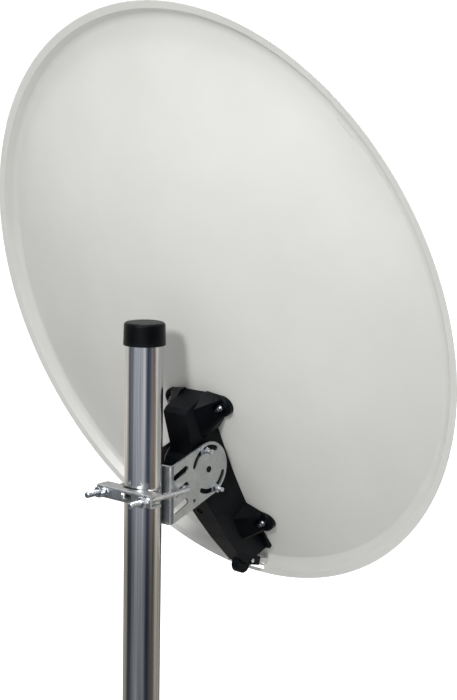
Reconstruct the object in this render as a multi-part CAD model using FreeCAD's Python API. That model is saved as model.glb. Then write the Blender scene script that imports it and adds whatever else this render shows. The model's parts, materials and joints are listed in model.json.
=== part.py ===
import FreeCAD, Part
import math
import os

# Offset satellite dish on a mast, in millimetres.
# Z is the mast's axis, with its foot at the origin. The dish faces -Y. The clamp's bolts lie at CLAMP_Z.

V = FreeCAD.Vector

# ---- driving dimensions -------------------------------------------------------------------------
MAST_R = 25.0            # outside radius of the mast
MAST_WALL = 2.0
MAST_TOP = 620.0
SPIGOT_R = 22.8          # swaged lower end, which plugs into the next mast section
SPIGOT_LENGTH = 95.0
CAP_R = 27.8
CAP_SKIRT_Z = 596.0      # lower edge of the cap
CAP_TOP_Z = 623.0
CLAMP_Z = 400.0          # height of the two hook bolts

PLATE_OUT = 27.3         # outer face of each side plate, from the middle
SHEET = 2.5              # thickness of the galvanised sheet
WEB_Y = -25.3            # rear face of the web, against the mast
PIVOT_Y, PIVOT_Z = -101.0, CLAMP_Z + 16.5
PLATE_END_R = 38.0       # rounded front end of the plates
ARC_R = 30.5             # arc slots for the elevation bolts
ARC_FROM, ARC_TO = 62.0, 164.0   # degrees from the front (-Y) towards the top
ARC_MID = 113.0
ARC_WIDTH = 6.8

ROD_X, ROD_R = 38.5, 4.0 # hook bolts
HOOK_Y, ROD_END_Y = -50.0, 67.0

JAW_REAR, JAW_HALF = 38.0, 48.0  # rear face and half length of the jaw behind the mast
JAW_HEIGHT, JAW_DEPTH = 17.0, 21.0
NOTCH_Y = 28.5           # bottom of the V that bears on the mast

TILT = 18.45             # lean of the rim plane from the vertical
RIM_A, RIM_B = 388.2, 422.5      # outer half width and half height of the rim
FOLD_IN = 20.0           # the bowl's edge, inside the rim's edge
SKIRT_DEPTH = 15.5       # the bowl's edge, in front of the rim's edge
HEM_WIDTH, HEM_DROP = 8.8, 1.7
DISH_SHEET = 1.4
RIM_CENTRE_Y, RIM_CENTRE_Z = -138.1, CLAMP_Z + 236.0
WINDOW_HALF, WINDOW_Z = 8.9, (-12.6, -2.9)       # window in the skirt for the feed arm
DRAIN_X = (-6.0, 20.0)   # ends of the drain slot in the hem

BOLT_X = 43.0            # the four bolts that hold the reflector to its bracket
BOLT_U = (-115.4, -316.7)
LUG_R = 15.0
LUG_OUT, LUG_ROUND = 9.0, 3.5    # how far a lug stands out from the bowl, and its rounded edge

SPINE_HALF, SPINE_TOE_HALF = 20.0, 13.0          # half widths of the moulded bracket's spine
TOE_Y, TOE_Z, TOE_R, TOE_HALF = -208.0, CLAMP_Z - 145.0, 14.0, 6.0
TAB_U, TAB_X, TAB_LENGTH = -353.0, 14.0, 50.0    # feet beside the spine
TANG_HALF_WIDTH, TANG_HALF_HEIGHT = 8.0, 3.6     # flattened end of the feed arm
SNOUT_HALF_WIDTH, SNOUT_HALF_HEIGHT = 10.4, 6.4  # sleeve around it

M6, M8 = 3.0, 4.0        # thread radii
LNB_R = 20.0             # neck of the low noise block
GAP = 0.4                # air between pieces that only lie beside each other
HUB_HALF = PLATE_OUT - SHEET - 0.3

# ---- quantities that follow from them -----------------------------------------------------------
OFFSET = math.acos(RIM_A / RIM_B)             # offset angle of the paraboloid
BOWL_A = RIM_A - FOLD_IN
FOCAL = (BOWL_A + 25.0) / (2 * math.tan(OFFSET))
BOWL_DEPTH = BOWL_A ** 2 / (4 * FOCAL)
SIN_O, COS_O = math.sin(OFFSET), math.cos(OFFSET)
TILT_R = math.radians(TILT)
UP = V(0, math.sin(TILT_R), math.cos(TILT_R))         # up the rim plane
FRONT = V(0, -math.cos(TILT_R), math.sin(TILT_R))     # out of the rim plane, towards the sky
RIM_PLACE = FreeCAD.Placement(V(0, RIM_CENTRE_Y, RIM_CENTRE_Z),
                              FreeCAD.Rotation(V(1, 0, 0), 90 - TILT))
BEAM = FRONT * COS_O + UP * SIN_O                     # boresight
ACROSS = UP * COS_O - FRONT * SIN_O
CENTRE = V(0, RIM_CENTRE_Y, RIM_CENTRE_Z)
AXIS_OFFSET = BOWL_A + 25.0
FOCUS = (CENTRE + BEAM * (FOCAL - (AXIS_OFFSET ** 2 + BOWL_A ** 2) / (4 * FOCAL))
         - ACROSS * AXIS_OFFSET)
FEED_AXIS = V(0, 0.9956, 0.0938)                      # from the focus to the middle of the bowl


def box(x0, x1, y0, y1, z0, z1):
    return Part.makeBox(x1 - x0, y1 - y0, z1 - z0, V(x0, y0, z0))


def cyl(radius, start, end):
    return Part.makeCylinder(radius, (end - start).Length, start, end - start)


def prism(points, x0, x1):
    """Solid between x0 and x1 whose side view is the closed outline of (y, z) points."""
    wire = Part.makePolygon([V(x0, y, z) for y, z in points + points[:1]])
    return Part.Face(wire).extrude(V(x1 - x0, 0, 0))


def hexagon(across, height, base, axis):
    """Hexagon nut or head blank, standing on base along axis."""
    r = across / math.sqrt(3)
    ring = [V(r * math.cos(math.radians(60 * i)), r * math.sin(math.radians(60 * i)), 0) for i in range(7)]
    solid = Part.Face(Part.makePolygon(ring)).extrude(V(0, 0, height))
    chamfer = Part.makeCone(r + height, r * 0.93, height + r * 0.07, V(0, 0, 0), V(0, 0, 1))
    solid = solid.common(chamfer)
    solid.Placement = FreeCAD.Placement(base, FreeCAD.Rotation(V(0, 0, 1), axis))
    return solid


def fuse(first, *others):
    return first.multiFuse(list(others)).removeSplitter()


def on_back(x, u, out=0.0):
    """Point on the back of the bowl at x and height u in the rim plane, moved out from it to the rear."""
    n = 0.0
    for _ in range(12):
        y = (u - n / COS_O * SIN_O) * COS_O
        n = -(BOWL_A ** 2 - x ** 2 - y ** 2) / (4 * FOCAL) * COS_O
    n -= DISH_SHEET * COS_O + out
    return CENTRE + V(x, 0, 0) + UP * u + FRONT * n


# ---- mast ---------------------------------------------------------------------------------------
def mast_tube():
    body = fuse(cyl(SPIGOT_R, V(0, 0, 0), V(0, 0, SPIGOT_LENGTH)),
                Part.makeCone(SPIGOT_R, MAST_R, 5, V(0, 0, SPIGOT_LENGTH)),
                cyl(MAST_R, V(0, 0, SPIGOT_LENGTH + 5), V(0, 0, MAST_TOP)))
    return body.cut(cyl(SPIGOT_R - MAST_WALL, V(0, 0, -1), V(0, 0, MAST_TOP + 1)))


def mast_cap():
    cap = Part.makeCone(CAP_R, CAP_R - 0.8, CAP_TOP_Z + 2.5 - CAP_SKIRT_Z, V(0, 0, CAP_SKIRT_Z))
    top = [e for e in cap.Edges if abs(e.BoundBox.ZMin - CAP_TOP_Z - 2.5) < 0.01 and e.Closed]
    cap = cap.makeFillet(4.0, top)
    return cap.cut(cyl(MAST_R, V(0, 0, CAP_SKIRT_Z - 1), V(0, 0, MAST_TOP)))


# ---- bracket on the mast ------------------------------------------------------------------------
def arc_slot(start, end, x0, x1):
    """Round-ended slot about the pivot, angles in degrees from the front towards the top."""
    def at(radius, angle):
        a = math.radians(angle)
        return V(x0, PIVOT_Y - radius * math.cos(a), PIVOT_Z + radius * math.sin(a))
    half, mid = ARC_WIDTH / 2, (start + end) / 2
    outer = Part.Arc(at(ARC_R + half, start), at(ARC_R + half, mid), at(ARC_R + half, end)).toShape()
    inner = Part.Arc(at(ARC_R - half, end), at(ARC_R - half, mid), at(ARC_R - half, start)).toShape()
    ends = [Part.makeLine(at(ARC_R + half, end), at(ARC_R - half, end)),
            Part.makeLine(at(ARC_R - half, start), at(ARC_R + half, start))]
    slot = Part.Face(Part.Wire([outer, ends[0], inner, ends[1]])).extrude(V(x1 - x0, 0, 0))
    caps = [cyl(half, at(ARC_R, a), at(ARC_R, a) + V(x1 - x0, 0, 0)) for a in (start, end)]
    return fuse(slot, *caps)


def long_slot(y, z, length, width, lean, x0, x1):
    """Straight round-ended slot centred on (y, z), rising to the front by lean degrees."""
    run = V(0, -math.cos(math.radians(lean)), math.sin(math.radians(lean))) * ((length - width) / 2)
    middle = V(x0, y, z)
    rise = V(0, run.z, -run.y).normalize() * (width / 2)
    ring = [middle - run - rise, middle + run - rise, middle + run + rise, middle - run + rise]
    slot = Part.Face(Part.makePolygon(ring + ring[:1])).extrude(V(x1 - x0, 0, 0))
    ends = [cyl(width / 2, middle + k * run, middle + k * run + V(x1 - x0, 0, 0)) for k in (-1, 1)]
    return fuse(slot, *ends)


PLATE_OUTLINE = [(WEB_Y, CLAMP_Z + 32), (-50.5, CLAMP_Z + 40.3), (PIVOT_Y + 12, PIVOT_Z + 36.06),
                 (PIVOT_Y - 18, PIVOT_Z - 33.47), (-68.5, CLAMP_Z - 34), (WEB_Y, CLAMP_Z - 47.3)]


def u_bracket():
    body = prism(PLATE_OUTLINE, -PLATE_OUT, PLATE_OUT)
    body = fuse(body, cyl(PLATE_END_R, V(-PLATE_OUT, PIVOT_Y, PIVOT_Z), V(PLATE_OUT, PIVOT_Y, PIVOT_Z)))
    folds = [e for e in body.Edges if abs(e.BoundBox.YMin - WEB_Y) < 0.01 and e.BoundBox.ZLength > 50]
    body = body.makeFillet(6.0, folds)
    inside = box(SHEET - PLATE_OUT, PLATE_OUT - SHEET, -200, WEB_Y - SHEET, 0, 900)
    rear = [e for e in inside.Edges
            if abs(e.BoundBox.YMin - WEB_Y + SHEET) < 0.01 and e.BoundBox.ZLength > 50]
    body = body.cut(inside.makeFillet(3.5, rear))
    side = (-PLATE_OUT - 1, PLATE_OUT + 1)
    body = body.cut(arc_slot(ARC_FROM, ARC_TO, *side)).cut(arc_slot(ARC_FROM - 180, ARC_TO - 180, *side))
    for y, z in ((-44.4, 20.7), (-46.0, -1.6), (-45.2, -24.1)):
        body = body.cut(long_slot(y, CLAMP_Z + z, 31, 9.5, 23, *side))
    body = body.cut(cyl(4.5, V(side[0], PIVOT_Y, PIVOT_Z), V(side[1], PIVOT_Y, PIVOT_Z)))
    body = body.cut(cyl(2.8, V(side[0], -72.4, CLAMP_Z - 22), V(side[1], -72.4, CLAMP_Z - 22)))
    return body


def hook_bolts():
    """Two hook bolts: along the mast, then bent inwards through the middle slot of each plate."""
    bend, bolts = 7.0, []
    for side in (-1, 1):
        x = side * ROD_X
        straight = cyl(ROD_R, V(x, HOOK_Y + bend, CLAMP_Z), V(x, ROD_END_Y, CLAMP_Z))
        tip = straight.makeChamfer(1.0, [straight.Edges[i] for i in range(len(straight.Edges))
                                         if abs(straight.Edges[i].BoundBox.YMin - ROD_END_Y) < 0.01
                                         and straight.Edges[i].Closed])
        centre = V(x - side * bend, HOOK_Y + bend, CLAMP_Z)
        disc = Part.Face(Part.Wire(Part.makeCircle(ROD_R, V(x, HOOK_Y + bend, CLAMP_Z), V(0, 1, 0))))
        elbow = disc.revolve(centre, V(0, 0, -side), 90)
        hook = cyl(ROD_R, V(x - side * bend, HOOK_Y, CLAMP_Z), V(side * (PLATE_OUT - 7), HOOK_Y, CLAMP_Z))
        bolts.append(fuse(tip, elbow, hook))
    return Part.makeCompound(bolts)


# ---- jaw behind the mast ------------------------------------------------------------------------
def clamp_jaw():
    z0, z1 = CLAMP_Z - JAW_HEIGHT / 2, CLAMP_Z + JAW_HEIGHT / 2
    body = box(-JAW_HALF, JAW_HALF, JAW_REAR - JAW_DEPTH, JAW_REAR, z0, z1)
    folds = [e for e in body.Edges if abs(e.BoundBox.YMin - JAW_REAR) < 0.01 and e.BoundBox.XLength > 50]
    body = body.makeFillet(3.0, folds)
    body = body.cut(box(-60, 60, 0, JAW_REAR - SHEET, z0 + SHEET, z1 - SHEET))
    # the flanges are notched in a V that bears on the mast
    vee = [V(-34, 0, z0 - 1), V(34, 0, z0 - 1), V(9, NOTCH_Y, z0 - 1), V(-9, NOTCH_Y, z0 - 1)]
    body = body.cut(Part.Face(Part.makePolygon(vee + vee[:1])).extrude(V(0, 0, 40)))
    body = body.cut(cyl(MAST_R + GAP, V(0, 0, z0 - 1), V(0, 0, z1 + 1)))
    for side in (-1, 1):
        slot = fuse(box(side * ROD_X - 5, side * ROD_X + 5, 0, 60, CLAMP_Z - 4.4, CLAMP_Z + 4.4),
                    *[cyl(4.4, V(side * ROD_X + k, 0, CLAMP_Z), V(side * ROD_X + k, 60, CLAMP_Z))
                      for k in (-5, 5)])
        body = body.cut(slot)
    return body.cut(box(-14, 6, 30, 60, CLAMP_Z - 4.5, CLAMP_Z + 4.5))


def clamp_washers():
    washers = []
    for side in (-1, 1):
        base = V(side * ROD_X, JAW_REAR, CLAMP_Z)
        washers.append(cyl(8.0, base, base + V(0, 1.6, 0)).cut(cyl(M8 + 0.25, base - V(0, 1, 0),
                                                                    base + V(0, 5, 0))))
    return Part.makeCompound(washers)


def clamp_nuts():
    nuts = []
    for side in (-1, 1):
        base = V(side * ROD_X, JAW_REAR + 1.6, CLAMP_Z)
        nut = hexagon(13.0, 6.8, base, V(0, 1, 0))
        nuts.append(nut.cut(cyl(M8 + 0.05, base - V(0, 1, 0), base + V(0, 9, 0))))
    return Part.makeCompound(nuts)


# ---- reflector ----------------------------------------------------------------------------------
def reflector():
    t = DISH_SHEET
    curve = Part.BezierCurve()
    curve.setPoles([V(0, 0, -BOWL_DEPTH), V(BOWL_A / 2, 0, -BOWL_DEPTH), V(BOWL_A, 0, 0)])
    front = curve.toShape()
    back = front.translated(V(0, 0, -t))
    section = Part.Wire([Part.makeLine(V(0, 0, -BOWL_DEPTH - t), V(0, 0, -BOWL_DEPTH)), front,
                         Part.makeLine(V(BOWL_A, 0, 0), V(BOWL_A, 0, -t)), back])
    bowl = Part.Face(section).revolve(V(0, 0, 0), V(0, 0, 1), 360)
    # the offset paraboloid is this round bowl, stretched to the rim's oval and sheared along the beam
    oval = FreeCAD.Matrix(1, 0, 0, 0,
                          0, 1 / COS_O, SIN_O, 0,
                          0, 0, COS_O, 0,
                          0, 0, 0, 1)
    bowl = bowl.transformGeometry(oval)
    # fold, skirt and hem around the bowl, with a rounded corner at the back
    skirt_r, skirt_z = RIM_A - HEM_WIDTH, HEM_DROP - SKIRT_DEPTH
    corner = [V(BOWL_A + r, 0, z) for r, z in ((3.6, -6.5), (-1.9, -3.55), (-9.0, -4.2))]
    outline = [(BOWL_A - 5.6, -1.8), (BOWL_A + 0.6, 0.5), (BOWL_A + 2.2, -0.4),
               (skirt_r + 0.9, skirt_z + 0.2), (RIM_A, -SKIRT_DEPTH), (RIM_A, -SKIRT_DEPTH - t),
               (skirt_r - 0.6, skirt_z - t)]
    sides = Part.makePolygon([corner[2]] + [V(r, 0, z) for r, z in outline] + [corner[0]])
    ring = Part.Wire(sides.Edges + [Part.Arc(*corner).toShape()])
    rim = Part.Face(ring).revolve(V(0, 0, 0), V(0, 0, 1), 360)
    rim = rim.transformGeometry(FreeCAD.Matrix(1, 0, 0, 0, 0, 1 / COS_O, 0, 0, 0, 0, 1, 0, 0, 0, 0, 1))
    dish = fuse(bowl, rim)
    # window in the skirt at the bottom, where the feed arm passes, and a drain slot in the hem
    dish = dish.cut(box(-WINDOW_HALF, WINDOW_HALF, -RIM_B + 6, -RIM_B + 25, *WINDOW_Z))
    dish = dish.cut(box(*DRAIN_X, -RIM_B + 4.5, -RIM_B + 12.5, -SKIRT_DEPTH - 4, -SKIRT_DEPTH + 2.6))
    dish.Placement = RIM_PLACE
    for x, u in bolt_places():
        hole = on_back(x, u)
        dish = dish.cut(cyl(M6 + 0.3, hole - FRONT * 20, hole + FRONT * 20))
    return dish


def bolt_places():
    return [(side * BOLT_X, u) for u in BOLT_U for side in (-1, 1)]


# ---- moulded bracket between the plates and the reflector ---------------------------------------
SPINE_REAR = [(-105, 121.5), (-66, 103), (-60, 96), (-73.5, 52), (-76, 20), (-85, -8), (-107, -34),
              (-122, -53), (-136, -71), (-160, -100), (-182, -123), (-199, -141), (-217, -139.5)]
# outlines of the arms to the lugs, as (height in the rim plane, distance out from the bowl)
ARM_ROOTS = [[(-97, -3), (-157, -3), (-157, 33), (-153, 37), (-108, 37), (-95, 11)],
             [(-288, -3), (-340, -3), (-340, 32), (-336, 36), (-297, 36), (-287, 8)]]
ARM_TIP = [(LUG_R, -3), (-LUG_R, -3), (-LUG_R, LUG_OUT - LUG_ROUND), (LUG_ROUND - LUG_R, LUG_OUT),
           (LUG_R - LUG_ROUND, LUG_OUT), (LUG_R, LUG_OUT - LUG_ROUND)]


def back_line(x, us, out):
    """Points (y, z) on the back of the bowl, a little way out from it."""
    return [(p.y, p.z) for p in (on_back(x, u, out) for u in us)]


def wedge(root, tip):
    """Web lofted between two outlines with the same number of points."""
    return Part.makeLoft([Part.makePolygon(root + root[:1]), Part.makePolygon(tip + tip[:1])], True, True)


def plate_sweep(x0, x1):
    """Space that a side plate passes through as the dish tilts, seen from the dish."""
    plate = prism(PLATE_OUTLINE, x0, x1)
    plate = plate.fuse(cyl(PLATE_END_R + 0.6, V(x0, PIVOT_Y, PIVOT_Z), V(x1, PIVOT_Y, PIVOT_Z)))
    turned = [plate.rotated(V(0, PIVOT_Y, PIVOT_Z), V(1, 0, 0), a) for a in range(-36, 13, 8)]
    return turned[0].multiFuse(turned[1:])


def lug(x, u):
    """Round pad that stands on the bowl around one bolt."""
    foot = on_back(x, u, -3.0)
    pad = cyl(LUG_R, foot, foot - FRONT * (LUG_OUT + 3))
    outer = max((e for e in pad.Edges if e.Closed), key=lambda e: e.BoundBox.Center.y)
    return pad.makeFillet(LUG_ROUND, [outer])


def tab(side):
    """Flat foot with rounded corners that lies on the bowl beside the spine."""
    low, high = on_back(side * TAB_X, TAB_U - 10), on_back(side * TAB_X, TAB_U + 10)
    along = (high - low).normalize()
    plate = box(-13, 13, -TAB_LENGTH / 2, TAB_LENGTH / 2, -4, 8)
    corners = [e for e in plate.Edges if e.BoundBox.ZLength > 11 and e.BoundBox.XMin * side > 0]
    plate = plate.makeFillet(5.0, corners)
    turn = FreeCAD.Rotation(V(1, 0, 0), V(0, along.y, along.z), V(0, along.z, -along.y), "XYZ")
    plate.Placement = FreeCAD.Placement(on_back(side * TAB_X, TAB_U), turn)
    return plate


def back_bracket():
    rear = [(y, CLAMP_Z + z) for y, z in SPINE_REAR]
    front = back_line(0, (-380, -350, -300, -250, -200, -150, -100), -6.0)
    spine = prism(rear + front, -SPINE_HALF, SPINE_HALF)
    # the spine narrows to its toe
    for side in (-1, 1):
        taper = [V(side * SPINE_HALF, 0, CLAMP_Z - 60), V(side * SPINE_TOE_HALF, 0, CLAMP_Z - 150),
                 V(side * 60, 0, CLAMP_Z - 150), V(side * 60, 0, CLAMP_Z - 60)]
        spine = spine.cut(Part.Face(Part.makePolygon(taper + taper[:1])).extrude(V(0, -400, 0)))
    hub = cyl(34.0, V(-HUB_HALF, PIVOT_Y, PIVOT_Z), V(HUB_HALF, PIVOT_Y, PIVOT_Z))
    toe = cyl(TOE_R, V(-TOE_HALF, TOE_Y, TOE_Z), V(TOE_HALF, TOE_Y, TOE_Z))
    snout = bar(ARM_START, SNOUT_END, SNOUT_HALF_WIDTH, SNOUT_HALF_HEIGHT)
    body = fuse(spine, hub, toe, snout, tab(-1), tab(1))
    # arms from the spine out to the four lugs
    for x, u in bolt_places():
        side, row = (1 if x > 0 else -1), BOLT_U.index(u)
        foot = [on_back(side * (SPINE_HALF - 1), *place) for place in ARM_ROOTS[row]]
        tip = [on_back(x, u + rise, out) for rise, out in ARM_TIP]
        body = fuse(body, wedge(foot, tip), lug(x, u))
    for x, u in bolt_places():
        seat = on_back(x, u, 6.0)
        body = body.cut(cyl(8.6, seat, seat - FRONT * 60))
        body = body.cut(cyl(M6 + 0.3, seat + FRONT * 20, seat - FRONT * 60))
    # keep clear of the bowl and of the plates
    body = body.cut(bowl_space())
    for side in (-1, 1):
        near, far = sorted((side * HUB_HALF, side * (PLATE_OUT + 6)))
        body = body.cut(plate_sweep(near, far))
    body = body.fuse(cyl(4.45, V(-PLATE_OUT - 0.6, PIVOT_Y, PIVOT_Z), V(PLATE_OUT + 0.6, PIVOT_Y, PIVOT_Z)))
    for a in (ARC_MID, ARC_MID - 180):
        p = arc_point(a, 0)
        body = body.cut(cyl(M6 + 0.2, p - V(60, 0, 0), p + V(60, 0, 0)))
    # hollow for the end of the feed arm, its screw's hole, and a small round socket in the rear face
    body = body.cut(arm_inset(GAP))
    body = body.cut(cyl(2.1, SCREW_HEAD - V(5, 0, 0), SCREW_HEAD + V(20, 0, 0)))
    socket = V(5, -121.5, CLAMP_Z - 52.4)
    body = body.cut(cyl(5.0, socket - SPINE_NORMAL * 3, socket + SPINE_NORMAL * 5))
    body = body.fuse(cyl(1.8, socket - SPINE_NORMAL * 4, socket))
    return max(body.Solids, key=lambda s: s.Volume)


def bowl_space():
    """Everything on the front side of the reflector's back, with a small gap."""
    z = -DISH_SHEET - GAP
    curve = Part.BezierCurve()
    curve.setPoles([V(0, 0, -BOWL_DEPTH + z), V(BOWL_A / 2, 0, -BOWL_DEPTH + z), V(BOWL_A, 0, z)])
    section = Part.Wire([curve.toShape(), Part.makeLine(V(BOWL_A, 0, z), V(BOWL_A, 0, 60)),
                         Part.makeLine(V(BOWL_A, 0, 60), V(0, 0, 60)),
                         Part.makeLine(V(0, 0, 60), V(0, 0, -BOWL_DEPTH + z))])
    space = Part.Face(section).revolve(V(0, 0, 0), V(0, 0, 1), 360)
    space = space.transformGeometry(FreeCAD.Matrix(1, 0, 0, 0, 0, 1 / COS_O, SIN_O, 0,
                                                   0, 0, COS_O, 0, 0, 0, 0, 1))
    space.Placement = RIM_PLACE
    return space


def arc_point(angle, x):
    a = math.radians(angle)
    return V(x, PIVOT_Y - ARC_R * math.cos(a), PIVOT_Z + ARC_R * math.sin(a))


# ---- fasteners of the dish ----------------------------------------------------------------------
def elevation_bolts():
    bolts = []
    for a in (ARC_MID, ARC_MID - 180):
        left, right = arc_point(a, PLATE_OUT + 1.6), arc_point(a, -PLATE_OUT - 15)
        head = hexagon(10.0, 4.0, left, V(1, 0, 0))
        bolts.append(fuse(cyl(M6, right, left), head))
    return Part.makeCompound(bolts)


def elevation_washers():
    washers = []
    for a in (ARC_MID, ARC_MID - 180):
        for x in (-PLATE_OUT - 1.4, PLATE_OUT + 0.2):
            p = arc_point(a, x)
            washers.append(cyl(6.5, p, p + V(1.2, 0, 0)).cut(cyl(M6 + 0.2, p - V(1, 0, 0), p + V(3, 0, 0))))
    return Part.makeCompound(washers)


def elevation_nuts():
    nuts = []
    for a in (ARC_MID, ARC_MID - 180):
        base = arc_point(a, -PLATE_OUT - 1.5)
        nuts.append(hexagon(10.0, 5.2, base, V(-1, 0, 0)).cut(cyl(M6 + 0.05, base + V(1, 0, 0),
                                                                base - V(9, 0, 0))))
    return Part.makeCompound(nuts)


def reflector_bolts():
    """Round-headed bolts from the front of the bowl."""
    bolts = []
    for x, u in bolt_places():
        face = on_back(x, u, -DISH_SHEET - 2.0)
        head = Part.makeSphere(9.0, face - FRONT * 5.2).common(cyl(8.0, face, face + FRONT * 6))
        bolts.append(fuse(cyl(M6, face + FRONT * 1.0, face - FRONT * 21), head))
    return Part.makeCompound(bolts)


def reflector_nuts():
    nuts = []
    for x, u in bolt_places():
        seat = on_back(x, u, 6.1)
        nuts.append(hexagon(10.0, 5.0, seat, -FRONT).cut(cyl(M6 + 0.05, seat + FRONT, seat - FRONT * 9)))
    return Part.makeCompound(nuts)


# ---- feed arm and low noise block ---------------------------------------------------------------
ARM_START = V(0, -207, CLAMP_Z - 139)
ARM_OUT = V(0, -268, CLAMP_Z - 154.5)
ARM_KNEE = ARM_OUT + V(0, -10, -2.5)
NECK = FOCUS - FEED_AXIS * 46.0                     # where the holder grips the block's neck
ARM_END = NECK + V(0, 2, -34)
ARM_AXIS = (ARM_END - ARM_KNEE).normalize()
SNOUT_END = ARM_OUT + (ARM_START - ARM_OUT).normalize() * 30
SCREW_HEAD = V(-SNOUT_HALF_WIDTH - 0.2, -220, CLAMP_Z - 142.6)
SPINE_NORMAL = V(0, 19, -15).normalize()            # out of the spine's rear face, by the lower plates


def bar(start, end, half_width, half_height):
    """Rectangular bar between two points of the middle plane."""
    along = (end - start).normalize()
    rise = V(0, -along.z, along.y) * half_height
    ring = [start + rise, start - rise, end - rise, end + rise]
    ring = [V(-half_width, p.y, p.z) for p in ring]
    return Part.Face(Part.makePolygon(ring + ring[:1])).extrude(V(2 * half_width, 0, 0))


def arm_inset(gap):
    along = (ARM_OUT - ARM_START).normalize()
    return bar(ARM_START - along * gap, ARM_OUT + along * 30, TANG_HALF_WIDTH + gap, TANG_HALF_HEIGHT + gap)


def feed_arm():
    tang = bar(ARM_START, ARM_KNEE, TANG_HALF_WIDTH, TANG_HALF_HEIGHT)
    knee = Part.makeSphere(11.0, ARM_KNEE)
    tube = cyl(11.0, ARM_KNEE, ARM_END)
    return fuse(tang, knee, tube)


def arm_screw():
    head = SCREW_HEAD
    shaft = cyl(2.0, head, V(-TANG_HALF_WIDTH - GAP, head.y, head.z))
    return fuse(shaft, cyl(3.0, head - V(2.0, 0, 0), head))


def lnb_holder():
    """Split collar around the neck, on a saddle at the end of the arm."""
    a, b = NECK - FEED_AXIS * 9, NECK + FEED_AXIS * 9
    collar = cyl(LNB_R + 5, a, b).cut(cyl(LNB_R + 0.05, a - FEED_AXIS, b + FEED_AXIS))
    saddle = box(-9, 9, ARM_END.y - 9, ARM_END.y + 9, ARM_END.z + 1, NECK.z - LNB_R - 1)
    socket = cyl(14.0, ARM_END - ARM_AXIS * 22, ARM_END + ARM_AXIS * 4)
    body = fuse(collar, saddle, socket)
    body = body.cut(cyl(LNB_R + 0.05, a - FEED_AXIS * 20, b + FEED_AXIS * 20))
    return body.cut(cyl(11.1, ARM_KNEE, ARM_END + ARM_AXIS * 0.2))


def lnb_body():
    """Neck and housing of the block, with two threaded stubs for the cable connectors below."""
    neck = cyl(LNB_R, NECK - FEED_AXIS * 16, NECK + FEED_AXIS * 24)
    housing = box(-21, 21, NECK.y - 44, NECK.y - 11, NECK.z - 23, NECK.z + 18)
    housing = housing.makeFillet(6.0, [e for e in housing.Edges if e.BoundBox.YLength > 30])
    return fuse(neck, housing)


def lnb_feed_cover():
    a = NECK + FEED_AXIS * 24.2
    return fuse(cyl(26.0, a, a + FEED_AXIS * 14),
                Part.makeCone(26.0, 22.0, 7, a + FEED_AXIS * 14, FEED_AXIS))


def connector_places():
    return [V(x, NECK.y - 30, NECK.z - 23.2) for x in (-11.0, 11.0)]


def f_connectors():
    """Threaded F sockets, 3/8 inch outside, each on a small flange."""
    shells = []
    for p in connector_places():
        shell = fuse(cyl(6.5, p, p - V(0, 0, 2.0)), cyl(4.76, p - V(0, 0, 2.0), p - V(0, 0, 12)))
        shells.append(shell.cut(cyl(3.2, p + V(0, 0, 1), p - V(0, 0, 20))))
    return Part.makeCompound(shells)


def connector_insulators():
    plugs = []
    for p in connector_places():
        plugs.append(cyl(3.15, p - V(0, 0, 0.2), p - V(0, 0, 9)).cut(cyl(0.5, p, p - V(0, 0, 20))))
    return Part.makeCompound(plugs)


PARTS = [mast_tube, mast_cap, u_bracket, hook_bolts, clamp_jaw, clamp_washers, clamp_nuts, reflector,
         back_bracket, elevation_bolts, elevation_washers, elevation_nuts, reflector_bolts,
         reflector_nuts, feed_arm, arm_screw, lnb_holder, lnb_body, lnb_feed_cover, f_connectors,
         connector_insulators]

os.makedirs("parts", exist_ok=True)
for make in PARTS:
    make().exportStep("parts/" + make.__name__ + ".step")
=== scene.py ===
import bpy
import bmesh
import json
import math
from mathutils import Matrix, Vector

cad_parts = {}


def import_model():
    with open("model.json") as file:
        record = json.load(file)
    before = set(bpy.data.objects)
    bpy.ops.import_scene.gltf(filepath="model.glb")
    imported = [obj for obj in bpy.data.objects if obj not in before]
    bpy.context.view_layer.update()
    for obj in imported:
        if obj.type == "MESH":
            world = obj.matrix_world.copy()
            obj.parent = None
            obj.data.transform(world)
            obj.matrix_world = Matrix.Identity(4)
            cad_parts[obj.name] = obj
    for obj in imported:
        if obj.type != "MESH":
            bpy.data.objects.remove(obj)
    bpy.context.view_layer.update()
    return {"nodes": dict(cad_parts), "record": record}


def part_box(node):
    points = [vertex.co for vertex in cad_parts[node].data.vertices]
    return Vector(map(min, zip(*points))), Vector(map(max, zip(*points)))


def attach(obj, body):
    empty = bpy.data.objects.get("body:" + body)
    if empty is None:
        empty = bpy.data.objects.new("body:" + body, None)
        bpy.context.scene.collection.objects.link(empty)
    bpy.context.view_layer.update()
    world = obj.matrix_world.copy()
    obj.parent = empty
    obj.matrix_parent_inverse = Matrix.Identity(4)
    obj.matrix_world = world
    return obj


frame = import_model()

# ---- places taken from the frame -----------------------------------------------------------------
MAST_LOW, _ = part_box("mast_tube")
ROD_LOW, ROD_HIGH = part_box("hook_bolts")
NUT_LOW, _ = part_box("clamp_nuts")
PLATE_LOW, PLATE_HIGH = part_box("u_bracket")
CLAMP_Z = (ROD_LOW.z + ROD_HIGH.z) / 2
PLATE_MID_Z = (PLATE_LOW.z + PLATE_HIGH.z) / 2

# ---- threads: metric sizes, in metres ------------------------------------------------------------
M8_PITCH, M6_PITCH, M6_RADIUS = 0.00125, 0.001, 0.003
HOOK_THREAD_REACH = 0.014        # how far the hook bolts' thread runs past the front of the nuts
HOOK_END_BARE, ELEVATION_END_BARE = 0.0012, 0.0004
THREAD_DEPTH = 0.36              # ridge to root, as a share of the pitch

# ---- camera: the mast's axis at clamp height is its reference point ---------------------------------
AZIMUTH, ELEVATION, ROLL = 219.65, 9.31, 1.09      # degrees
DISTANCE, SIDEWAYS, ABOVE_CLAMP = 1.92666, 0.1091, 0.50662
LENS, SENSOR = 77.33, 36.0
CLIP_END = 100.0

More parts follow.
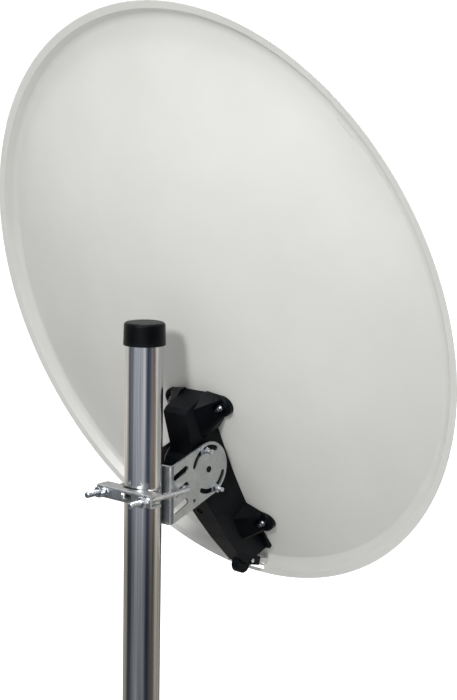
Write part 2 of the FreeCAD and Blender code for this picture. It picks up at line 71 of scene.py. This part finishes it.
# ---- stage ---------------------------------------------------------------------------------------
FLOOR_SIZE, FLOOR_GAP = 80.0, 0.001
AIM_Y, AIM_ABOVE_CLAMP = -0.1, 0.2


# ---- node helpers --------------------------------------------------------------------------------
def new_material(name, base, metallic=0.0, roughness=0.5):
    mat = bpy.data.materials.new(name)
    mat.use_nodes = True
    shader = mat.node_tree.nodes["Principled BSDF"]
    shader.inputs["Base Color"].default_value = (*base, 1)
    shader.inputs["Metallic"].default_value = metallic
    shader.inputs["Roughness"].default_value = roughness
    return mat, mat.node_tree, shader


def noise(tree, scale, detail=4.0, stretch=(1, 1, 1), roughness=0.55):
    """Noise in object coordinates, whose pattern is divided by stretch along each axis."""
    coords = tree.nodes.new("ShaderNodeTexCoord")
    mapping = tree.nodes.new("ShaderNodeMapping")
    mapping.inputs["Scale"].default_value = stretch
    tree.links.new(coords.outputs["Object"], mapping.inputs["Vector"])
    tex = tree.nodes.new("ShaderNodeTexNoise")
    tex.inputs["Scale"].default_value = scale
    tex.inputs["Detail"].default_value = detail
    tex.inputs["Roughness"].default_value = roughness
    tree.links.new(mapping.outputs["Vector"], tex.inputs["Vector"])
    return tex.outputs["Fac"]


def ramp(tree, factor, stops):
    """Colour ramp; stops are (position, colour)."""
    node = tree.nodes.new("ShaderNodeValToRGB")
    while len(node.color_ramp.elements) < len(stops):
        node.color_ramp.elements.new(0.5)
    for element, (place, colour) in zip(node.color_ramp.elements, stops):
        element.position = place
        element.color = (*colour, 1)
    tree.links.new(factor, node.inputs["Fac"])
    return node.outputs["Color"]


def spread(tree, factor, low, high, from_low=0.3, from_high=0.7):
    """Factor mapped from from_low..from_high to low..high."""
    node = tree.nodes.new("ShaderNodeMapRange")
    limits = {"From Min": from_low, "From Max": from_high, "To Min": low, "To Max": high}
    for socket, value in limits.items():
        node.inputs[socket].default_value = value
    tree.links.new(factor, node.inputs["Value"])
    return node.outputs["Result"]


def bump(tree, shader, height, strength, distance, below=None):
    node = tree.nodes.new("ShaderNodeBump")
    node.inputs["Strength"].default_value = strength
    node.inputs["Distance"].default_value = distance
    tree.links.new(height, node.inputs["Height"])
    if below is not None:
        tree.links.new(below, node.inputs["Normal"])
    tree.links.new(node.outputs["Normal"], shader.inputs["Normal"])
    return node.outputs["Normal"]


def edge_mix(tree, inner, outer, low=0.51, high=0.56):
    """Colour that goes over to outer on convex edges."""
    geometry = tree.nodes.new("ShaderNodeNewGeometry")
    mix = tree.nodes.new("ShaderNodeMix")
    mix.data_type = "RGBA"
    factor = spread(tree, geometry.outputs["Pointiness"], 0.0, 1.0, low, high)
    tree.links.new(factor, mix.inputs["Factor"])
    tree.links.new(inner, mix.inputs["A"])
    tree.links.new(outer, mix.inputs["B"])
    return mix.outputs["Result"]


# ---- materials -----------------------------------------------------------------------------------
def dish_paint():
    """Light grey powder coat: faint mottling and orange peel."""
    mat, tree, shader = new_material("dish_paint", (0.62, 0.62, 0.59), 0.0, 0.42)
    colour = ramp(tree, noise(tree, 7.0, 5.0),
                  [(0.3, (0.615, 0.612, 0.585)), (0.7, (0.655, 0.652, 0.625))])
    tree.links.new(colour, shader.inputs["Base Color"])
    tree.links.new(spread(tree, noise(tree, 60.0), 0.38, 0.48), shader.inputs["Roughness"])
    fine = bump(tree, shader, noise(tree, 900.0, 2.0), 0.10, 0.0004)
    bump(tree, shader, noise(tree, 160.0, 3.0), 0.05, 0.0006, fine)
    shader.inputs["Coat Weight"].default_value = 0.12
    shader.inputs["Coat Roughness"].default_value = 0.25
    return mat


def moulded_plastic(name, dark, light, grain, roughness, sheen=0.5):
    """Moulded plastic with a fine eroded grain, and a painted highlight: a lighter colour on convex
    edges.
    """
    mat, tree, shader = new_material(name, dark, 0.0, roughness)
    shader.inputs["Specular IOR Level"].default_value = sheen
    body = ramp(tree, noise(tree, 45.0, 6.0), [(0.3, dark), (0.75, light)])
    # painted highlight: convex edges take a lighter colour, up to 1.9 times the light tone, in place of
    # light caught on the edges
    painted_edge_highlight = ramp(tree, noise(tree, 220.0, 3.0), [(0.3, light), (0.7, tuple(1.9 * c for c in light))])
    tree.links.new(edge_mix(tree, body, painted_edge_highlight), shader.inputs["Base Color"])
    tree.links.new(spread(tree, noise(tree, 350.0), roughness - 0.07, roughness + 0.09),
                   shader.inputs["Roughness"])
    bump(tree, shader, noise(tree, grain, 2.5), 0.35, 0.0004)
    return mat


def galvanised():
    """Galvanised sheet: soft spangle, dull patches and a fine bump."""
    mat, tree, shader = new_material("galvanised", (0.55, 0.57, 0.58), 1.0, 0.36)
    coords = tree.nodes.new("ShaderNodeTexCoord")
    cells = tree.nodes.new("ShaderNodeTexVoronoi")
    cells.inputs["Scale"].default_value = 260.0
    tree.links.new(coords.outputs["Object"], cells.inputs["Vector"])
    tone = tree.nodes.new("ShaderNodeRGBToBW")
    tree.links.new(cells.outputs["Color"], tone.inputs["Color"])
    spangle = ramp(tree, tone.outputs["Val"], [(0.0, (0.46, 0.485, 0.485)), (1.0, (0.68, 0.705, 0.705))])
    patches = ramp(tree, noise(tree, 55.0, 5.0), [(0.35, (0.50, 0.52, 0.52)), (0.7, (0.68, 0.70, 0.70))])
    mix = tree.nodes.new("ShaderNodeMix")
    mix.data_type = "RGBA"
    mix.inputs["Factor"].default_value = 0.5
    tree.links.new(spangle, mix.inputs["A"])
    tree.links.new(patches, mix.inputs["B"])
    tree.links.new(mix.outputs["Result"], shader.inputs["Base Color"])
    tree.links.new(spread(tree, tone.outputs["Val"], 0.30, 0.46, 0.0, 1.0), shader.inputs["Roughness"])
    bump(tree, shader, noise(tree, 700.0, 3.0), 0.12, 0.0003)
    return mat


def plated(name, dark, light, roughness):
    """Bright plated fastener: slight staining and a fine bump."""
    mat, tree, shader = new_material(name, light, 1.0, roughness)
    stain = ramp(tree, noise(tree, 150.0, 5.0), [(0.3, dark), (0.7, light)])
    tree.links.new(stain, shader.inputs["Base Color"])
    tree.links.new(spread(tree, noise(tree, 600.0), roughness - 0.06, roughness + 0.10),
                   shader.inputs["Roughness"])
    bump(tree, shader, noise(tree, 1200.0, 2.0), 0.10, 0.0002)
    return mat


def polished_steel():
    """Tube polished along its length: long fine draw lines, slight waviness, and upright streaks of
    lighter and darker colour that are partly drawn-line tone and partly painted reflection.
    """
    mat, tree, shader = new_material("polished_steel", (0.6, 0.6, 0.6), 1.0, 0.12)
    lines = noise(tree, 420.0, 5.0, (1, 1, 0.012))
    # upright streaks in the base colour, from 0.40 to 0.80: partly drawn-line tone, partly painted
    # reflection of the studio
    drawn_tone_and_painted_reflection = ramp(tree, noise(tree, 150.0, 4.0, (1, 1, 0.012)),
                [(0.38, (0.40, 0.40, 0.42)), (0.5, (0.60, 0.595, 0.585)), (0.62, (0.80, 0.78, 0.75))])
    tree.links.new(drawn_tone_and_painted_reflection, shader.inputs["Base Color"])
    tree.links.new(spread(tree, lines, 0.08, 0.2), shader.inputs["Roughness"])
    waves = bump(tree, shader, noise(tree, 30.0, 2.0, (1, 1, 0.15)), 0.12, 0.0008)
    bump(tree, shader, lines, 0.10, 0.0002, waves)
    return mat


MATERIALS = {
    "dish_paint": dish_paint(),
    "black_plastic": moulded_plastic("black_plastic", (0.0014, 0.0021, 0.0030), (0.0034, 0.0044, 0.0056),
                                     grain=1500.0, roughness=0.34, sheen=0.08),
    "cap_plastic": moulded_plastic("cap_plastic", (0.0012, 0.0020, 0.0021), (0.0030, 0.0038, 0.0040),
                                   grain=1300.0, roughness=0.36, sheen=0.10),
    "lnb_plastic": moulded_plastic("lnb_plastic", (0.56, 0.56, 0.53), (0.63, 0.63, 0.60),
                                   grain=1600.0, roughness=0.45),
    "cover_plastic": moulded_plastic("cover_plastic", (0.70, 0.70, 0.67), (0.78, 0.78, 0.75),
                                     grain=1600.0, roughness=0.38),
    "galvanised": galvanised(),
    "zinc": plated("zinc", (0.60, 0.62, 0.65), (0.80, 0.81, 0.83), 0.22),
    "nickel": plated("nickel", (0.50, 0.46, 0.38), (0.66, 0.62, 0.54), 0.24),
    "polished_steel": polished_steel(),
}


def dress_frame():
    """Every CAD node takes its slot's material."""
    slots = {part["node"]: part["material_slot"] for part in frame["record"]["subparts"]}
    for node, obj in frame["nodes"].items():
        mat = MATERIALS[slots[node]]
        for material_slot in obj.material_slots:
            material_slot.material = mat
        if not obj.material_slots:
            obj.data.materials.append(mat)


# ---- threads -------------------------------------------------------------------------------------
def thread(name, start, end, radius, pitch, body, slot, sides=40, steps=6):
    """Threaded skin from start to end: rings whose radius follows the helix, fading at both ends."""
    axis = (end - start).normalized()
    frame_x = axis.orthogonal().normalized()
    frame_y = axis.cross(frame_x)
    length = (end - start).length
    rings = int(length / pitch * steps)
    mesh = bmesh.new()
    rows = []
    for i in range(rings + 1):
        travelled = length * i / rings
        fade = min(1.0, travelled / pitch, (length - travelled) / pitch)
        row = []
        for k in range(sides):
            angle = 2 * math.pi * k / sides
            phase = (travelled / pitch - k / sides) % 1.0
            crest = 1 - abs(2 * phase - 1)
            r = radius - THREAD_DEPTH / 2 * pitch + THREAD_DEPTH * pitch * crest * fade
            row.append(mesh.verts.new(start + axis * travelled
                                      + (frame_x * math.cos(angle) + frame_y * math.sin(angle)) * r))
        rows.append(row)
    for low, high in zip(rows, rows[1:]):
        for k in range(sides):
            j = (k + 1) % sides
            mesh.faces.new((low[k], low[j], high[j], high[k]))
    mesh.faces.new(list(reversed(rows[0])))
    mesh.faces.new(rows[-1])
    data = bpy.data.meshes.new(name)
    mesh.to_mesh(data)
    mesh.free()
    piece = bpy.data.objects.new(name, data)
    bpy.context.collection.objects.link(piece)
    data.materials.append(MATERIALS[slot])
    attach(piece, body)


def solids(node):
    """Corners of the boxes around a node's separate solids."""
    mesh = bmesh.new()
    mesh.from_mesh(frame["nodes"][node].data)
    bmesh.ops.remove_doubles(mesh, verts=mesh.verts, dist=1e-6)
    place, left, boxes = frame["nodes"][node].matrix_world, set(mesh.verts), []
    while left:
        group, queue = set(), [left.pop()]
        while queue:
            vert = queue.pop()
            group.add(vert)
            for edge in vert.link_edges:
                other = edge.other_vert(vert)
                if other in left:
                    left.remove(other)
                    queue.append(other)
        spots = [place @ vert.co for vert in group]
        boxes.append([Vector(pick(spot[k] for spot in spots) for k in range(3)) for pick in (min, max)])
    mesh.free()
    return boxes


def clamp_threads():
    """Threads on the hook bolts' free ends, where the nuts run."""
    rod_radius = (ROD_HIGH.z - ROD_LOW.z) / 2
    for side, name in ((-1, "right"), (1, "left")):
        x = side * (ROD_HIGH.x - rod_radius)
        thread("hook_thread_" + name, Vector((x, NUT_LOW.y - HOOK_THREAD_REACH, CLAMP_Z)),
               Vector((x, ROD_HIGH.y - HOOK_END_BARE, CLAMP_Z)), rod_radius, M8_PITCH, "mount", "zinc")


def elevation_threads():
    """Threads on the bolt ends that stand out of the elevation nuts."""
    nut_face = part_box("elevation_nuts")[0].x
    for low, high in solids("elevation_bolts"):
        centre = (low + high) / 2
        name = "elevation_thread_" + ("upper" if centre.z > PLATE_MID_Z else "lower")
        thread(name, Vector((low.x + ELEVATION_END_BARE, centre.y, centre.z)),
               Vector((nut_face, centre.y, centre.z)), M6_RADIUS, M6_PITCH, "dish", "zinc")


# ---- stage, light and camera -----------------------------------------------------------------------
def floor():
    """Pale floor that reads as the same white as the surroundings, and throws little light back up."""
    bpy.ops.mesh.primitive_plane_add(size=FLOOR_SIZE, location=(0, 0, MAST_LOW.z - FLOOR_GAP))
    plane = bpy.context.object
    plane.name = "floor"
    plane.visible_glossy = False
    mat, tree, shader = new_material("floor_white", (0.4, 0.4, 0.4), 0.0, 0.9)
    shader.inputs["Emission Color"].default_value = (1, 1, 1, 1)
    path = tree.nodes.new("ShaderNodeLightPath")
    tree.links.new(path.outputs["Is Camera Ray"], shader.inputs["Emission Strength"])
    plane.data.materials.append(mat)


def area_light(name, place, target, size, power, colour):
    data = bpy.data.lights.new(name, "AREA")
    data.shape = "RECTANGLE"
    data.size, data.size_y = size
    data.energy = power
    data.color = colour
    lamp = bpy.data.objects.new(name, data)
    lamp.location = place
    lamp.rotation_euler = (target - place).to_track_quat("-Z", "Y").to_euler()
    lamp.visible_camera = False
    bpy.context.collection.objects.link(lamp)


def level_back():
    """Level direction from the dish towards the camera."""
    az = math.radians(AZIMUTH)
    return Vector((math.sin(az), -math.cos(az), 0))


def camera_frame():
    """Camera's place and its right, up and back axes."""
    tilt, roll = math.radians(ELEVATION), math.radians(ROLL)
    back = level_back()
    right = Vector((0, 0, 1)).cross(back)
    place = back * DISTANCE + right * SIDEWAYS + Vector((0, 0, CLAMP_Z + ABOVE_CLAMP))
    forward = -back * math.cos(tilt) - Vector((0, 0, math.sin(tilt)))
    up = right.cross(forward)
    rolled_right = right * math.cos(roll) + up * math.sin(roll)
    rolled_up = up * math.cos(roll) - right * math.sin(roll)
    return place, rolled_right, rolled_up, -forward


def camera():
    place, right, up, back = camera_frame()
    data = bpy.data.cameras.new("camera")
    data.lens, data.sensor_width = LENS, SENSOR
    data.clip_end = CLIP_END
    cam = bpy.data.objects.new("camera", data)
    cam.matrix_world = Matrix.Translation(place) @ Matrix((right, up, back)).transposed().to_4x4()
    bpy.context.collection.objects.link(cam)
    bpy.context.scene.camera = cam


# place: to the camera's right, above the aim and towards the camera; size; power; colour
LIGHTS = {
    "key": ((-0.85, 1.0, 2.3), (0.35, 0.35), 40.0, (1.0, 1.0, 1.0)),
    "top": ((-0.2, 2.6, 0.5), (1.8, 1.8), 78.0, (1.0, 1.0, 1.0)),
    "side": ((2.2, 0.6, 0.6), (0.8, 1.6), 10.0, (1.0, 0.97, 0.93)),
}


def lights():
    right = camera_frame()[1]
    target = Vector((0, AIM_Y, CLAMP_Z + AIM_ABOVE_CLAMP))
    for name, ((sideways, height, away), size, power, colour) in LIGHTS.items():
        place = target + right * sideways + Vector((0, 0, height)) + level_back() * away
        area_light(name, place, target, size, power, colour)


# what polished metal sees around it: (degrees from the camera towards the right, colour)
SURROUNDINGS = [(-180, (0.72, 0.69, 0.65)), (-106, (0.72, 0.69, 0.65)), (-97, (0.13, 0.14, 0.17)),
                (-70, (0.15, 0.17, 0.20)), (-58, (0.36, 0.39, 0.45)), (-30, (0.60, 0.63, 0.69)),
                (-8, (0.46, 0.49, 0.56)), (8, (0.58, 0.60, 0.66)), (19, (0.27, 0.29, 0.34)),
                (25, (0.05, 0.07, 0.12)), (40, (0.06, 0.08, 0.13)), (47, (0.21, 0.19, 0.18)),
                (78, (0.26, 0.23, 0.215)), (90, (0.85, 0.80, 0.72)), (180, (0.72, 0.69, 0.65))]
LOW_DOWN, HIGHER, LOW_SHARE = -0.285, -0.235, 0.42     # slope of the gaze, and how dark its lower part is
ROOM, ROOM_STRENGTH, SEEN_STRENGTH = (0.88, 0.89, 0.90), 0.64, 1.05


def background(tree, colour, strength):
    node = tree.nodes.new("ShaderNodeBackground")
    if isinstance(colour, tuple):
        node.inputs["Color"].default_value = (*colour, 1)
    else:
        tree.links.new(colour, node.inputs["Color"])
    node.inputs["Strength"].default_value = strength
    return node.outputs["Background"]


def mix_by(tree, factor, off, on):
    mix = tree.nodes.new("ShaderNodeMixShader")
    for socket, value in enumerate((factor, off, on)):
        tree.links.new(value, mix.inputs[socket])
    return mix.outputs["Shader"]


def along(tree, direction, axis):
    """Part of the direction that points along the axis."""
    node = tree.nodes.new("ShaderNodeVectorMath")
    node.operation = "DOT_PRODUCT"
    node.inputs[1].default_value = axis
    tree.links.new(direction, node.inputs[0])
    return node.outputs["Value"]


def world():
    """White backdrop, an even grey room for light, and upright bands for what the metal reflects."""
    sky = bpy.data.worlds.new("studio")
    sky.use_nodes = True
    tree = sky.node_tree
    tree.nodes.clear()
    direction = tree.nodes.new("ShaderNodeTexCoord").outputs["Generated"]
    turn = tree.nodes.new("ShaderNodeMath")
    turn.operation = "ARCTAN2"
    tree.links.new(along(tree, direction, Vector((0, 0, 1)).cross(level_back())), turn.inputs[0])
    tree.links.new(along(tree, direction, level_back()), turn.inputs[1])
    share = spread(tree, turn.outputs["Value"], 0.0, 1.0, -math.pi, math.pi)
    bands = ramp(tree, share, [(angle / 360 + 0.5, colour) for angle, colour in SURROUNDINGS])
    brightness = spread(tree, along(tree, direction, Vector((0, 0, 1))), LOW_SHARE, 1.0, LOW_DOWN, HIGHER)
    mirrored = background(tree, bands, 1.0)
    tree.links.new(brightness, mirrored.node.inputs["Strength"])
    path = tree.nodes.new("ShaderNodeLightPath")
    room = mix_by(tree, path.outputs["Is Glossy Ray"], background(tree, ROOM, ROOM_STRENGTH), mirrored)
    white = background(tree, (1.0, 1.0, 1.0), SEEN_STRENGTH)
    seen = mix_by(tree, path.outputs["Is Camera Ray"], room, white)
    out = tree.nodes.new("ShaderNodeOutputWorld")
    tree.links.new(seen, out.inputs["Surface"])
    bpy.context.scene.world = sky


dress_frame()
clamp_threads()
elevation_threads()
floor()
camera()
lights()
world()
bpy.context.scene.view_settings.view_transform = "Standard"
